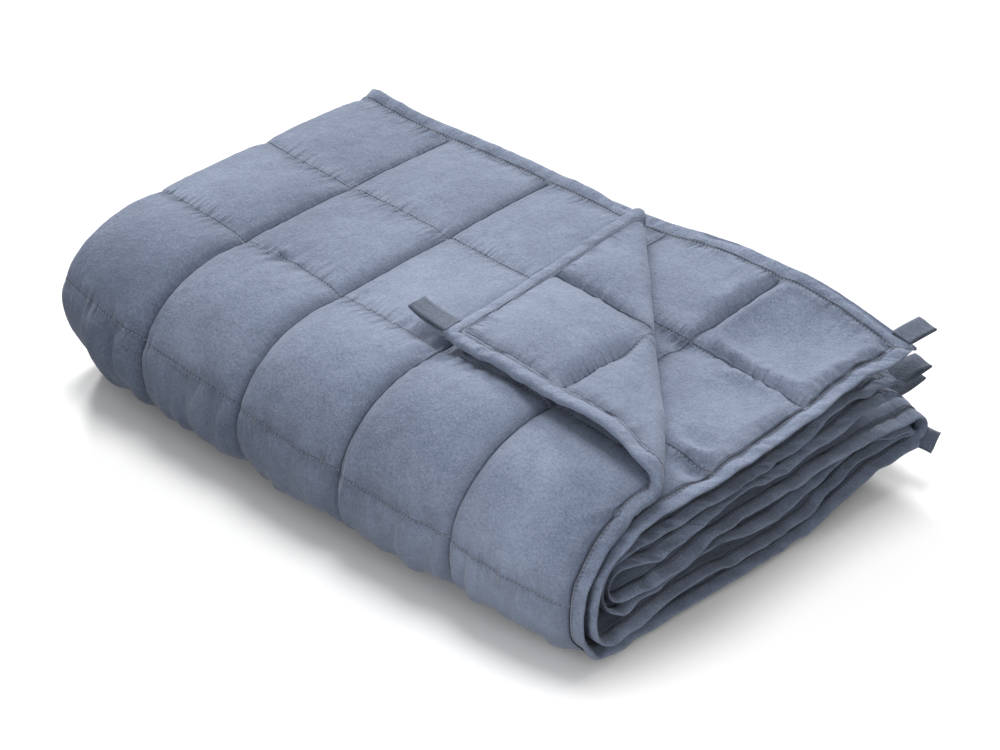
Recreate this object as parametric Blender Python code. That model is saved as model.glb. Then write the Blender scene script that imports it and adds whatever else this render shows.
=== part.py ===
"""A weighted blanket, folded in eight, with one corner turned back.

The blanket is laid out flat first, as it is cut and sewn: w runs across it and v along it,
both in metres from the middle of its left fold and from its first bound edge. Every solid is
drawn on that flat pattern and then carried to its folded place by one function, folded().

Folded, X runs along the long side of the stack, from the fold at -X to the bound ends at +X,
Y runs from the rounded front to the loose edges at the back, and Z is up.
"""

import math
from collections import namedtuple

import bmesh
import bpy
import numpy as np

# ---------------------------------------------------------------- driving dimensions (m)
POCKETS_ACROSS = 10
POCKETS_ALONG = 14
POCKET_WIDTH = 0.124
POCKET_LENGTH = 0.125
BINDING_WIDTH = 0.015
BINDING_THICKNESS = 0.0044

POCKET_THICKNESS = 0.012
SEAM_THICKNESS = 0.004
CHANNEL = 0.15               # part of a pocket over which it swells from seam to full height

PLY_OFFSET = 0.0075          # from the middle of a double layer to the middle of each ply
FRONT_Y = -0.306             # where the underside starts to lie flat on the surface
CREEP = 0.78                 # part of the inner and outer way round a fold that shows as slip

TURNED_POCKETS = 2           # the corner is turned back over two pockets by two
CREASE_REACH = 0.2995        # from the corner, along both edges, to where the bend begins
CREASE_RADIUS = 0.008        # middle of the cloth, where it bends over
FLAP_DRAWN_IN = 0.866        # length of the turned corner, its pockets drawn together, to flat

GAP = 0.0003                 # sewn pieces stay this far apart
MAX_TURN = math.radians(33)  # the most that the cloth turns within one facet
CREASE_FACETS = 5

LOOP_WIDTH = 0.020
LOOP_THICKNESS = 0.0012
LOOP_HALF_HEIGHT = 0.0040    # middle of the ribbon, at the loop's far end
LOOP_ROOT_HALF = 0.0010
LOOP_LEG_STEPS = 4
LOOP_END_STEPS = 6
SIDE_LOOP_BELOW = 0.018      # from the long side's middle to the middle of its loop

WIDTH = POCKETS_ACROSS * POCKET_WIDTH + 2 * BINDING_WIDTH
LENGTH = POCKETS_ALONG * POCKET_LENGTH + 2 * BINDING_WIDTH
LAYING_HEIGHT = PLY_OFFSET + POCKET_THICKNESS / 2
HALF_TURN = math.pi * PLY_OFFSET / 2  # flat length of a quarter of the left fold

# The folded section, seen from the bound ends: each row is a stretch of the double layer,
# from the first bound edge at the top of the back, round the front, along the bottom and
# back inside. turn is counter-clockwise in degrees, and fullness is the cloth that lies in
# one metre of the stretch, more than 1 where it is bunched up inside the stack.
Run = namedtuple("Run", "name length turn fullness")
RUNS = (
    Run("top", 0.290, 0, 1.0),
    Run("shoulder", 0.053, 27, 1.0),
    Run("brow", 0.039, 23, 1.0),
    Run("nose", 0.049, 46, 1.0),
    Run("chin", 0.055, 81, 1.0),
    Run("laid flat", 0.222, 0, 1.0),
    Run("lift", 0.028, 13, 1.0),
    Run("ramp", 0.051, 0, 1.0),
    Run("heel", 0.071, -9, 1.0),
    Run("back fold", 0.0467, 179.2, 1.0),
    Run("inner", 0.175, 0, 1.147),
    Run("inner dip", 0.178, 2.3, 1.147),
    Run("front fold", 0.068, -182, 1.147),
    Run("under top", 0.144, 0, 1.147),
    Run("loose end", 0.199, 0, 1.147),
)
LAID_FLAT = [run.name for run in RUNS].index("laid flat")

# The ribbon loops: the middle of each root on the flat pattern (w, v), the way that the loop
# leaves the cloth there, and how far it stands out.
Loop = namedtuple("Loop", "name w v out_w out_v reach")
CORNER_W = WIDTH / 2 - 0.004 - LOOP_WIDTH / 2
LOOPS = (
    Loop("loop_turned_corner", CORNER_W, 0.0, 0, -1, 0.034),
    Loop("loop_top_corner", -CORNER_W, 0.0, 0, -1, 0.028),
    Loop("loop_upper_inner_corner", -CORNER_W, LENGTH, 0, 1, 0.028),
    Loop("loop_lower_inner_corner", CORNER_W, LENGTH, 0, 1, 0.024),
    Loop("loop_side", WIDTH / 2, LENGTH / 2 - SIDE_LOOP_BELOW, 1, 0, 0.016),
)

MATERIALS = {  # base colour, roughness, metallic
    "cover_cloth": ((0.285, 0.325, 0.420), 0.85, 0.0),
    "binding_cloth": ((0.255, 0.295, 0.385), 0.85, 0.0),
    "ribbon": ((0.170, 0.200, 0.270), 0.80, 0.0),
}


# ---------------------------------------------------------------- the folded section
def section_table():
    """Starts of the runs: way along the middle, cloth used, heading, y and z."""
    curl = sum(run.turn for run in RUNS[:LAID_FLAT])
    rows = [(0.0, 0.0, math.radians(-curl), 0.0, 0.0)]
    for run in RUNS:
        way, cloth, heading, y, z = rows[-1]
        turn = math.radians(run.turn)
        chord = run.length if turn == 0 else run.length * math.sin(turn / 2) / (turn / 2)
        y += chord * math.cos(heading + turn / 2)
        z += chord * math.sin(heading + turn / 2)
        rows.append((way + run.length, cloth + run.length * run.fullness, heading + turn, y, z))
    table = np.array(rows)
    table[:, 3] += FRONT_Y - table[LAID_FLAT, 3]
    table[:, 4] += LAYING_HEIGHT - table[LAID_FLAT, 4]
    return table


SECTION = section_table()


def way_along(v, side):
    """Where the cloth at v lies along the section; side is 1 on the outer ply, -1 on the inner."""
    cloth = SECTION[:, 1] + side * PLY_OFFSET * CREEP * SECTION[:, 2]
    way = np.interp(v, cloth, SECTION[:, 0])
    return way + min(v - cloth[0], 0.0) + max(v - cloth[-1], 0.0)


def section_point(way):
    """y, z and heading of the middle of the double layer."""
    row = int(np.clip(np.searchsorted(SECTION[:, 0], way, side="right") - 1, 0, len(RUNS) - 1))
    start, _, heading, y, z = SECTION[row]
    run = RUNS[row]
    ahead = way - start
    inside = 0.0 <= ahead <= run.length
    turn = math.radians(run.turn) * ahead / run.length if inside else 0.0
    if not inside and ahead > 0:
        start, _, heading, y, z = SECTION[-1]
        ahead = way - start
    chord = ahead if turn == 0 else ahead * math.sin(turn / 2) / (turn / 2)
    y += chord * math.cos(heading + turn / 2)
    z += chord * math.sin(heading + turn / 2)
    return y, z, heading + turn


def turned_back(w, v, rise):
    """The corner of the outer ply, bent over its diagonal crease and laid back on the top."""
    past = (w - (WIDTH / 2 - CREASE_REACH) - v) / math.sqrt(2)
    if past <= 0:
        return w, v, rise
    bend = min(past / CREASE_RADIUS, math.pi)
    straight = (past - bend * CREASE_RADIUS) * FLAP_DRAWN_IN
    forward = (CREASE_RADIUS - rise) * math.sin(bend) - straight
    move = (forward - past) / math.sqrt(2)
    height = CREASE_RADIUS * (1 - math.cos(bend)) + rise * math.cos(bend)
    return w + move, v - move, height


def folded(w, v, rise):
    """Place in the folded blanket of the flat pattern's point (w, v), rise above its middle."""
    w, v, rise = turned_back(w, v, rise)
    out = PLY_OFFSET + rise
    if abs(w) < HALF_TURN:
        angle = w / PLY_OFFSET
        x = -out * math.cos(angle)
        out = out * math.sin(angle)
    else:
        x = abs(w) - HALF_TURN
        out = math.copysign(out, w)
    y, z, heading = section_point(way_along(v, w / (WIDTH / 2)))
    return x, y + out * math.sin(heading), z - out * math.cos(heading)


# ---------------------------------------------------------------- the flat pattern
def refined(stations, turn):
    """Halves every cell in which turn(a, b), the angle that the cloth turns, is too much."""
    result = [stations[0]]
    for a, b in zip(stations, stations[1:]):
        parts = 1
        while turn(a, b) / parts > MAX_TURN:
            parts += 1
        result += [a + (b - a) * (k + 1) / parts for k in range(parts)]
    return result


def turn_along(a, b):
    """How far the section turns between v = a and v = b, on the ply where that is most."""
    turns = []
    for side in (-1, 1):
        headings = [section_point(way_along(a + (b - a) * k / 8, side))[2] for k in range(9)]
        turns.append(max(headings) - min(headings))
    return max(turns)


def turn_across(a, b):
    """How far the left fold turns between w = a and w = b."""
    a, b = (min(max(w, -HALF_TURN), HALF_TURN) for w in (a, b))
    return abs(b - a) / PLY_OFFSET / 1.4


def pocket_stations(first, size, count):
    """Seams, and the two lines in each pocket where it reaches its full height."""
    lines = [first + size * (k + part) for k in range(count) for part in (0, CHANNEL, 1 - CHANNEL)]
    return lines + [first + size * count]


def pocket_swell(position, size):
    """0 on a seam and 1 over the middle of a pocket."""
    part = position / size % 1.0
    return min(1.0, min(part, 1 - part) / CHANNEL)


def panel_thickness(w, v):
    swell = pocket_swell(w + WIDTH / 2 - BINDING_WIDTH, POCKET_WIDTH)
    swell *= pocket_swell(v - BINDING_WIDTH, POCKET_LENGTH)
    return SEAM_THICKNESS + (POCKET_THICKNESS - SEAM_THICKNESS) * swell


def binding_thickness(w, v):
    return BINDING_THICKNESS


def flat_grid(across, along, wanted):
    """The flat pattern's cells of a piece, as a mesh in the plane, cut along the crease."""
    mesh = bmesh.new()
    rows = [[mesh.verts.new((w, v, 0.0)) for w in across] for v in along]
    for j in range(len(along) - 1):
        for i in range(len(across) - 1):
            if wanted((across[i] + across[i + 1]) / 2, (along[j] + along[j + 1]) / 2):
                mesh.faces.new((rows[j][i], rows[j][i + 1], rows[j + 1][i + 1], rows[j + 1][i]))
    loose = [vert for vert in mesh.verts if not vert.link_faces]
    bmesh.ops.delete(mesh, geom=loose, context="VERTS")

    normal = (math.sqrt(0.5), -math.sqrt(0.5), 0.0)
    for k in range(CREASE_FACETS + 1):
        past = CREASE_RADIUS * math.pi * k / CREASE_FACETS
        point = (WIDTH / 2 - CREASE_REACH + past / normal[0], 0.0, 0.0)
        corner = [face for face in mesh.faces
                  if face.calc_center_bounds().x > 0 and face.calc_center_bounds().y < 2 * CREASE_REACH]
        geometry = set(corner)
        for face in corner:
            geometry.update(face.edges)
            geometry.update(face.verts)
        bmesh.ops.bisect_plane(mesh, geom=list(geometry), dist=1e-5, plane_co=point, plane_no=normal)
    bmesh.ops.triangulate(mesh, faces=[face for face in mesh.faces if len(face.verts) > 4])
    return mesh


def folded_solid(name, flat, thickness, material):
    """A closed solid of the given thickness about the flat pattern, in its folded place."""
    mesh = bmesh.new()
    outer, inner = {}, {}
    for vert in flat.verts:
        w, v, _ = vert.co
        half = thickness(w, v) / 2
        outer[vert] = mesh.verts.new(folded(w, v, half))
        inner[vert] = mesh.verts.new(folded(w, v, -half))
    for face in flat.faces:
        mesh.faces.new([outer[vert] for vert in face.verts])
        mesh.faces.new([inner[vert] for vert in reversed(face.verts)])
    for edge in flat.edges:
        if edge.is_boundary:
            start, end = (loop.vert for loop in (edge.link_loops[0], edge.link_loops[0].link_loop_next))
            mesh.faces.new((inner[start], inner[end], outer[end], outer[start]))
    flat.free()
    bmesh.ops.triangulate(mesh, faces=mesh.faces, quad_method="LONG_EDGE")
    return new_object(name, mesh, material)


def new_object(name, mesh, material):
    """Puts a finished mesh in the blanket's collection, with its material."""
    bmesh.ops.recalc_face_normals(mesh, faces=mesh.faces)
    data = bpy.data.meshes.new(name)
    mesh.to_mesh(data)
    mesh.free()
    data.materials.append(material)
    data.shade_smooth()
    data.set_sharp_from_angle(angle=math.radians(20))
    piece = bpy.data.objects.new(name, data)
    bpy.data.collections["weighted_blanket"].objects.link(piece)
    return piece


# ---------------------------------------------------------------- the pieces
def quilted_panel(material):
    """The two covers with their filled pockets, sewn as one panel up to the binding."""
    across = pocket_stations(BINDING_WIDTH - WIDTH / 2, POCKET_WIDTH, POCKETS_ACROSS)
    along = pocket_stations(BINDING_WIDTH, POCKET_LENGTH, POCKETS_ALONG)
    along = sorted(along + [SECTION[LAID_FLAT, 1], SECTION[LAID_FLAT + 1, 1]])
    flat = flat_grid(refined(across, turn_across), refined(along, turn_along), lambda w, v: True)
    return folded_solid("quilted_panel", flat, panel_thickness, material)


def edge_binding(material):
    """The turned strip sewn all round the panel's edge, mitred at its corners."""
    inset = BINDING_WIDTH - GAP
    inner_w = WIDTH / 2 - inset
    turned = BINDING_WIDTH + (TURNED_POCKETS + 1) * POCKET_LENGTH
    across = pocket_stations(BINDING_WIDTH - WIDTH / 2, POCKET_WIDTH, POCKETS_ACROSS)
    across = [w for k, w in enumerate(across) if k % 3 == 0 or w > WIDTH / 2 - turned]
    along = pocket_stations(BINDING_WIDTH, POCKET_LENGTH, POCKETS_ALONG)
    along = [v for k, v in enumerate(along) if k % 3 == 0 or v < turned]
    across = [-WIDTH / 2, -inner_w] + across[1:-1] + [inner_w, WIDTH / 2]
    along = [0.0, inset] + along[1:-1] + [LENGTH - inset, LENGTH]

    def wanted(w, v):
        return abs(w) > inner_w or not inset < v < LENGTH - inset

    flat = flat_grid(refined(across, turn_across), refined(along, turn_along), wanted)
    return folded_solid("edge_binding", flat, binding_thickness, material)


def loop_outline(reach):
    """The middle of a loop's ribbon, from one end of its root to the other."""
    points = []
    leg = reach - LOOP_HALF_HEIGHT
    for k in range(LOOP_LEG_STEPS):
        part = k / LOOP_LEG_STEPS
        swell = 1 - (1 - min(1.0, 1.6 * part)) ** 2
        points.append((leg * part, LOOP_ROOT_HALF + (LOOP_HALF_HEIGHT - LOOP_ROOT_HALF) * swell))
    for k in range(LOOP_END_STEPS + 1):
        angle = math.pi * (0.5 - k / LOOP_END_STEPS)
        points.append((leg + LOOP_HALF_HEIGHT * math.cos(angle), LOOP_HALF_HEIGHT * math.sin(angle)))
    return points + [(x, -height) for x, height in reversed(points[:LOOP_LEG_STEPS])]


def ribbon_loop(loop, material):
    """A ribbon bent into a loop, with its two ends at the binding's outer edge."""
    root = np.array(folded(loop.w, loop.v, 0.0))
    inside = np.array(folded(loop.w - 0.001 * loop.out_w, loop.v - 0.001 * loop.out_v, 0.0))
    beside = np.array(folded(loop.w - 0.001 * loop.out_v, loop.v + 0.001 * loop.out_w, 0.0))
    across = (beside - root) / np.linalg.norm(beside - root)
    up = np.cross(root - inside, across)
    up /= np.linalg.norm(up)
    out = np.cross(across, up)
    points = [np.array(point) for point in loop_outline(loop.reach - LOOP_THICKNESS / 2)]
    mesh = bmesh.new()
    rings = []
    for k, point in enumerate(points):
        if 0 < k < len(points) - 1:
            step = points[k + 1] - points[k - 1]
        else:
            step = np.array((1.0, 0.0)) if k == 0 else np.array((-1.0, 0.0))
        step /= np.linalg.norm(step)
        normal = np.array((-step[1], step[0])) * LOOP_THICKNESS / 2
        ring = []
        for side, face in ((-1, -1), (1, -1), (1, 1), (-1, 1)):
            along, height = point + face * normal
            place = root + out * (along + GAP) + up * height + across * side * LOOP_WIDTH / 2
            ring.append(mesh.verts.new(place))
        rings.append(ring)
    for ring, following in zip(rings, rings[1:]):
        for k in range(4):
            mesh.faces.new((ring[k], ring[(k + 1) % 4], following[(k + 1) % 4], following[k]))
    mesh.faces.new(rings[0])
    mesh.faces.new(reversed(rings[-1]))
    return new_object(loop.name, mesh, material)


def new_material(name):
    """A cloth's plain finish."""
    colour, roughness, metallic = MATERIALS[name]
    material = bpy.data.materials.new(name)
    material.use_nodes = True
    shader = material.node_tree.nodes["Principled BSDF"]
    shader.inputs["Base Color"].default_value = (*colour, 1.0)
    shader.inputs["Roughness"].default_value = roughness
    shader.inputs["Metallic"].default_value = metallic
    return material


def stand_at_origin(pieces):
    """Moves the folded blanket so that the middle of its box stands over the origin."""
    corners = np.array([vert.co for piece in pieces for vert in piece.data.vertices])
    middle = (corners.min(axis=0) + corners.max(axis=0)) / 2
    holder = bpy.data.objects.new("folded_blanket", None)
    bpy.data.collections["weighted_blanket"].objects.link(holder)
    for piece in pieces:
        piece.parent = holder
    holder.location = (-middle[0], -middle[1], 0.0)
    bpy.context.view_layer.update()


def main():
    for thing in list(bpy.data.objects):
        bpy.data.objects.remove(thing)
    collection = bpy.data.collections.new("weighted_blanket")
    bpy.context.scene.collection.children.link(collection)
    finish = {name: new_material(name) for name in MATERIALS}
    pieces = [quilted_panel(finish["cover_cloth"]), edge_binding(finish["binding_cloth"])]
    pieces += [ribbon_loop(loop, finish["ribbon"]) for loop in LOOPS]
    stand_at_origin(pieces)


main()
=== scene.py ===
"""The looks of a folded weighted blanket, with its floor, light and view.

The blanket is drawn flat, as it is sewn, and folded() carries every point of it to its place in
the stack. w runs across the flat blanket from its left fold, v runs along it from its first
bound edge, and rise is the height over the middle of the ply. All sizes are in metres.
"""

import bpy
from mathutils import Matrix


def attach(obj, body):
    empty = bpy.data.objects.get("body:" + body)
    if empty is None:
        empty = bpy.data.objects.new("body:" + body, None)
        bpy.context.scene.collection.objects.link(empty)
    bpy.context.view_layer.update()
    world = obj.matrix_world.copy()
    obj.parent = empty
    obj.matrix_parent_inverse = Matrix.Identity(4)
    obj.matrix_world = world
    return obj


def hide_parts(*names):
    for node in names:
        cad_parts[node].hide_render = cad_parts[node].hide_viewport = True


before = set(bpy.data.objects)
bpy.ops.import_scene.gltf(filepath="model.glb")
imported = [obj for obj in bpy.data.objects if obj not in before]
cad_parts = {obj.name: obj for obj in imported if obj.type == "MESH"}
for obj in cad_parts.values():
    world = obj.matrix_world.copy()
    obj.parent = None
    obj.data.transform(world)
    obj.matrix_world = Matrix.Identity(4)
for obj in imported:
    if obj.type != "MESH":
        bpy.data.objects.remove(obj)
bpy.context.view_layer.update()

import math

import bpy
import numpy as np
from bpy.props import FloatProperty, FloatVectorProperty, PointerProperty
from mathutils import Matrix, Vector

bl_info = {
    "name": "Folded weighted blanket",
    "version": (1, 0, 0),
    "blender": (4, 5, 0),
    "location": "View3D > Sidebar > Blanket",
    "description": "Quilted covers, binding and loops of a folded weighted blanket",
    "category": "Object",
}

# ---------------- the blanket as it is sewn (m)
POCKETS_ACROSS = 10
POCKETS_ALONG = 14
POCKET_WIDTH = 0.124
POCKET_LENGTH = 0.125
BINDING_WIDTH = 0.015
WIDTH = POCKETS_ACROSS * POCKET_WIDTH + 2 * BINDING_WIDTH
LENGTH = POCKETS_ALONG * POCKET_LENGTH + 2 * BINDING_WIDTH
HALF_ACROSS = WIDTH / 2 - BINDING_WIDTH  # from the left fold to the binding
SEAM_HALF = 0.0018  # half the panel's thickness in a seam
EDGE_STITCHES = 0.0125  # from the blanket's edge to the stitches of its binding
LOOP_WIDTH = 0.020

# how far cross seams lie off their even places: on the outer ply the third one, where three
# pockets lie left of it and more for each pocket further, on the inner ply the second and first
OUTER_THIRD_OFF, OUTER_THIRD_MORE = 0.0063, 0.0028
INNER_SECOND_OFF, INNER_FIRST_OFF = 0.0081, 0.0095

# ---------------- the folded stack (m, degrees)
PLY_OFFSET = 0.0075  # from the middle of the double layer to the middle of a ply
CREEP = 0.78  # share of a ply's longer or shorter way round a turn that its cloth follows
FRONT_Y = -0.306
LAYING_HEIGHT = 0.0135
STACK_PLACE = (-0.3149, 0.1347, 0.0)
HALF_TURN = math.pi * PLY_OFFSET / 2  # cloth on either side of the left fold's middle
SLIP_STEPS = 9  # lines between the inner and the outer ply for which the slip is worked out
# name, length, turn, fullness
RUNS = (
    ("top", 0.290, 0, 1.0),
    ("shoulder", 0.053, 27, 1.0),
    ("brow", 0.039, 23, 1.0),
    ("nose", 0.049, 46, 1.0),
    ("chin", 0.055, 81, 1.0),
    ("laid flat", 0.222, 0, 1.0),
    ("lift", 0.028, 13, 1.0),
    ("ramp", 0.051, 0, 1.0),
    ("heel", 0.071, -9, 1.0),
    ("back fold", 0.0467, 179.2, 1.0),
    ("inner", 0.175, 0, 1.147),
    ("inner dip", 0.178, 2.3, 1.147),
    ("front fold", 0.068, -182, 1.147),
    ("under top", 0.144, 0, 1.147),
    ("loose end", 0.199, 0, 1.147),
)
LAID_FLAT = [run[0] for run in RUNS].index("laid flat")

CREASE_RADIUS = 0.008
CREASE_REACH = 0.2995  # from the turned corner to the crease's ends, along both edges
FLAP_DRAWN_IN = 0.866  # what is left of the turned corner's pockets across the crease

# ---------------- the view (degrees, m)
VIEW_AZIMUTH = 44.03
VIEW_ELEVATION = 31.72
VIEW_ROLL = 1.44
VIEW_DISTANCE = 2.779
VIEW_TARGET = (-0.0563, 0.0620, 0.0)
LENS = 110.0
SENSOR_WIDTH = 36.0
CLIP_NEAR, CLIP_FAR = 0.1, 30.0


# ---------------- the fold
def section_table():
    """Starts of the runs: way along the middle, cloth used, heading, y and z."""
    curl = sum(turn for _, _, turn, _ in RUNS[:LAID_FLAT])
    rows = [(0.0, 0.0, math.radians(-curl), 0.0, 0.0)]
    for _, length, turn, fullness in RUNS:
        way, cloth, heading, y, z = rows[-1]
        turn = math.radians(turn)
        chord = length if turn == 0 else length * math.sin(turn / 2) / (turn / 2)
        y += chord * math.cos(heading + turn / 2)
        z += chord * math.sin(heading + turn / 2)
        rows.append((way + length, cloth + length * fullness, heading + turn, y, z))
    table = np.array(rows)
    table[:, 3] += FRONT_Y - table[LAID_FLAT, 3]
    table[:, 4] += LAYING_HEIGHT - table[LAID_FLAT, 4]
    return table


SECTION = section_table()


def way_along(v, side):
    """Where the cloth at v lies along the section; side is 1 on the outer ply, -1 on the inner."""
    steps = (side + 1) / 2 * (SLIP_STEPS - 1)
    lower = np.clip(steps.astype(int), 0, SLIP_STEPS - 2)
    ways = []
    for step in np.linspace(-1, 1, SLIP_STEPS):
        cloth = SECTION[:, 1] + step * PLY_OFFSET * CREEP * SECTION[:, 2]
        way = np.interp(v, cloth, SECTION[:, 0])
        ways.append(way + np.minimum(v - cloth[0], 0) + np.maximum(v - cloth[-1], 0))
    ways = np.array(ways)
    column = np.arange(v.size)
    low, high = ways[lower, column], ways[lower + 1, column]
    return low + (high - low) * (steps - lower)


def section_point(way):
    """y, z and heading of the middle of the double layer."""
    row = np.clip(np.searchsorted(SECTION[:, 0], way, side="right") - 1, 0, len(RUNS) - 1)
    lengths = np.array([run[1] for run in RUNS])
    turns = np.radians([run[2] for run in RUNS])
    ahead = way - SECTION[row, 0]
    past_end = np.maximum(way - SECTION[-1, 0], 0)
    turn = turns[row] * np.clip(ahead / lengths[row], 0, 1)
    chord = (ahead - past_end) * np.sinc(turn / 2 / math.pi)
    heading = SECTION[row, 2] + turn
    middle = SECTION[row, 2] + turn / 2
    y = SECTION[row, 3] + chord * np.cos(middle) + past_end * np.cos(heading)
    z = SECTION[row, 4] + chord * np.sin(middle) + past_end * np.sin(heading)
    return y, z, heading


def turned_back(w, v, rise):
    """The corner of the outer ply, bent over its diagonal crease and laid back on the top."""
    past = (w - (WIDTH / 2 - CREASE_REACH) - v) / math.sqrt(2)
    bend = np.clip(past / CREASE_RADIUS, 0, math.pi)
    straight = np.maximum(past, 0) - bend * CREASE_RADIUS
    forward = (CREASE_RADIUS - rise) * np.sin(bend) - straight * FLAP_DRAWN_IN
    move = np.where(past > 0, (forward - past) / math.sqrt(2), 0)
    height = CREASE_RADIUS * (1 - np.cos(bend)) + rise * np.cos(bend)
    return w + move, v - move, height


def folded(w, v, rise):
    """Place in the folded blanket of the flat pattern's points (w, v), rise above its middle."""
    w, v, rise = (np.array(a, float) for a in np.broadcast_arrays(w, v, rise))
    shape = w.shape
    w, v, rise = turned_back(w.ravel(), v.ravel(), rise.ravel())
    out = PLY_OFFSET + rise
    at_fold = np.abs(w) < HALF_TURN
    angle = np.clip(w / PLY_OFFSET, -math.pi / 2, math.pi / 2)
    x = np.where(at_fold, -out * np.cos(angle), np.abs(w) - HALF_TURN)
    out = np.where(at_fold, out * np.sin(angle), np.copysign(out, w))
    y, z, heading = section_point(way_along(v, np.clip(w / (WIDTH / 2), -1, 1)))
    place = np.stack([x, y + out * np.sin(heading), z - out * np.cos(heading)], axis=-1)
    place = settled(place + STACK_PLACE)
    return place.reshape(*shape, 3)


def ease(value, start, end):
    """0 before start, 1 after end and smooth between."""
    part = np.clip((value - start) / (end - start), 0, 1)
    return part * part * (3 - 2 * part)


def stretch(value, start, full, fading, end):
    """1 from full to fading, 0 before start and after end, and smooth between."""
    return ease(value, start, full) * (1 - ease(value, fading, end))


LOOSE_END = (0.10, 0.31)  # x over which the stack slackens towards its bound end
LOOSE_SINK = 0.04  # part of its height that it loses there
FRONT_PART = (0.12, 0.20)  # -y over which the rounded front begins
FRONT_LEAN, LEAN_TURNS = 0.010, 0.45  # how far the front's two ends lean apart, and about what part
LEAN_FROM = (0.0, 0.02)  # z over which the lean sets in
SETTLE_FROM = (0.0, 0.03)  # z over which the table's upward moves set in
# place in the stack, how far the cloth has moved there under its fill's weight, and how wide (m)
SETTLING = np.array((
    (-0.27, 0.14, 0.155, -0.0061, -0.0104, -0.0063, 0.13),
    (-0.02, 0.14, 0.155, -0.0024, -0.0028, -0.0007, 0.13),
    (-0.27, -0.03, 0.150, -0.0052, -0.0054, -0.0002, 0.13),
    (-0.02, -0.04, 0.150, -0.0014, -0.0046, -0.0026, 0.13),
    (0.20, -0.08, 0.140, -0.0002, 0.0039, 0.0054, 0.13),
    (-0.25, -0.16, 0.120, -0.0036, -0.0067, -0.0027, 0.13),
    (0.00, -0.16, 0.120, -0.0039, -0.0055, -0.0015, 0.13),
    (0.22, -0.16, 0.110, -0.0032, -0.0036, -0.0005, 0.13),
    (-0.25, -0.22, 0.050, -0.0038, -0.0020, 0.0025, 0.13),
    (0.00, -0.22, 0.050, 0.0001, -0.0024, -0.0019, 0.13),
    (0.25, -0.21, 0.050, 0.0011, -0.0022, -0.0036, 0.13),
    (0.17, 0.18, 0.140, -0.0016, 0.0062, 0.0095, 0.13),
    (0.29, 0.16, 0.140, -0.0040, -0.0009, 0.0032, 0.13),
    (0.27, 0.03, 0.130, 0.0045, -0.0001, -0.0052, 0.13),
    (0.29, -0.06, 0.140, 0.0080, 0.0020, 0.0030, 0.060),
    (-0.33, -0.23, 0.020, 0.0040, 0.0090, 0.0120, 0.080),
    (0.33, 0.20, 0.120, 0.0000, 0.0000, -0.0120, 0.080),
    (0.31, 0.20, 0.070, 0.0000, 0.0000, -0.0050, 0.040),
))


def settled(place):
    """How the weight of the fill lets the stack settle; nothing goes below the surface."""
    x, y, z = place[..., 0], place[..., 1], place[..., 2]
    loose = ease(x, *LOOSE_END)
    front = ease(-y, *FRONT_PART)
    y = y + FRONT_LEAN * front * (loose - LEAN_TURNS) * ease(z, *LEAN_FROM)
    z = z * (1 - LOOSE_SINK * loose)
    place = np.stack([x, y, z], axis=-1)
    move = np.zeros_like(place)
    for row in SETTLING:
        near = np.exp(-((place - row[:3]) ** 2).sum(axis=-1) / row[6] ** 2)
        move += near[..., None] * row[3:6]
    move[..., 2] *= ease(z, *SETTLE_FROM)
    place = place + move
    place[..., 2] = np.maximum(place[..., 2], 0.0)
    return place


# ---------------- unevenness of the cloth
NOISE_CELLS = 512
NOISE_SHIFT = 100.0  # cells

# noises over the quilting: cell across, cell along (m) and seed
FILL_NOISE = (0.08, 0.08, 11)
SLOPE_NOISE = (0.05, 0.05, 12)
GATHER_A_NOISE = (0.030, 0.0060, 21)
GATHER_B_NOISE = (0.0064, 0.022, 22)
UNEVEN_NOISE = (0.05, 0.05, 23)
DRAG_NOISE = (0.0095, 0.050, 24)
WIDE_DRAG_NOISE = (0.018, 0.09, 25)
DRIFT_NOISE = (0.040, 0.040, 31)
FINE_DRIFT_NOISE = (0.017, 0.017, 32)

# noises along the bound edge: depth where it shows, depth within the stack, how much calmer on
# the lowest ply, cell (m) and seed
EDGE_RIPPLE = (
    (0.0030, 0.0000, 0.0, 0.060, 5),
    (0.0000, 0.0060, 0.8, 0.090, 9),
    (0.0015, 0.0019, 0.0, 0.016, 6),
)
EDGE_SWAY = (
    (0.0045, 0.0075, 0.7, 0.080, 7),
    (0.0016, 0.0020, 0.7, 0.019, 8),
)
WITHIN_DRAWN_IN, WITHIN_CALMER = 0.003, 0.7  # the edges within the stack, and on the lowest ply
EDGE_REACH = 0.040  # over which the edge's unevenness ebbs into the cloth
END_RIPPLE, END_SWAY = 0.45, 0.2  # of the two short edges beside the long ones
PLIES_APART = 3.0  # rows of the noise between the two plies

# stretches along the blanket over which something sets in, or sets in and ends again (m)
WITHIN_STACK = (0.50, 0.60)
LOWEST_PLY = (0.50, 0.55, 0.80, 0.86)
SEAMS_DRAWN = (0.05, 0.30, 0.48, 0.54)
SEAMS_LIFT = (0.31, 0.36)
FULL_FRONT = (0.25, 0.34, 0.44, 0.52)
FRONT_FLATTENS, FOLD_TIGHTENS = (0.38, 0.46), (0.38, 0.44)
DRAGGED_NOSE = (0.375, 0.41, 0.49, 0.53)
BARED_ENDS, LAST_FULL_ENDS = (0.36, 0.44), (0.35, 0.45)
# the same past the crease, for what stops before it and what sets in beyond it (m)
STAND_ENDS, DRAWN_ENDS = (-0.03, 0.0), (-0.10, -0.03)
BARED_FROM, ARCHED_FROM = (0.015, 0.045), (0.02, 0.05)
# how deep the seams sink that the turned corner bares, lengthways and cross seams, and how far
# beside them (m)
SUNK_ON_FLAP, SUNK_UNDER_FLAP = (0.0045, 0.0105), (0.0070, 0.0045)
SUNK_REACH = (0.007, 0.009)

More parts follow.
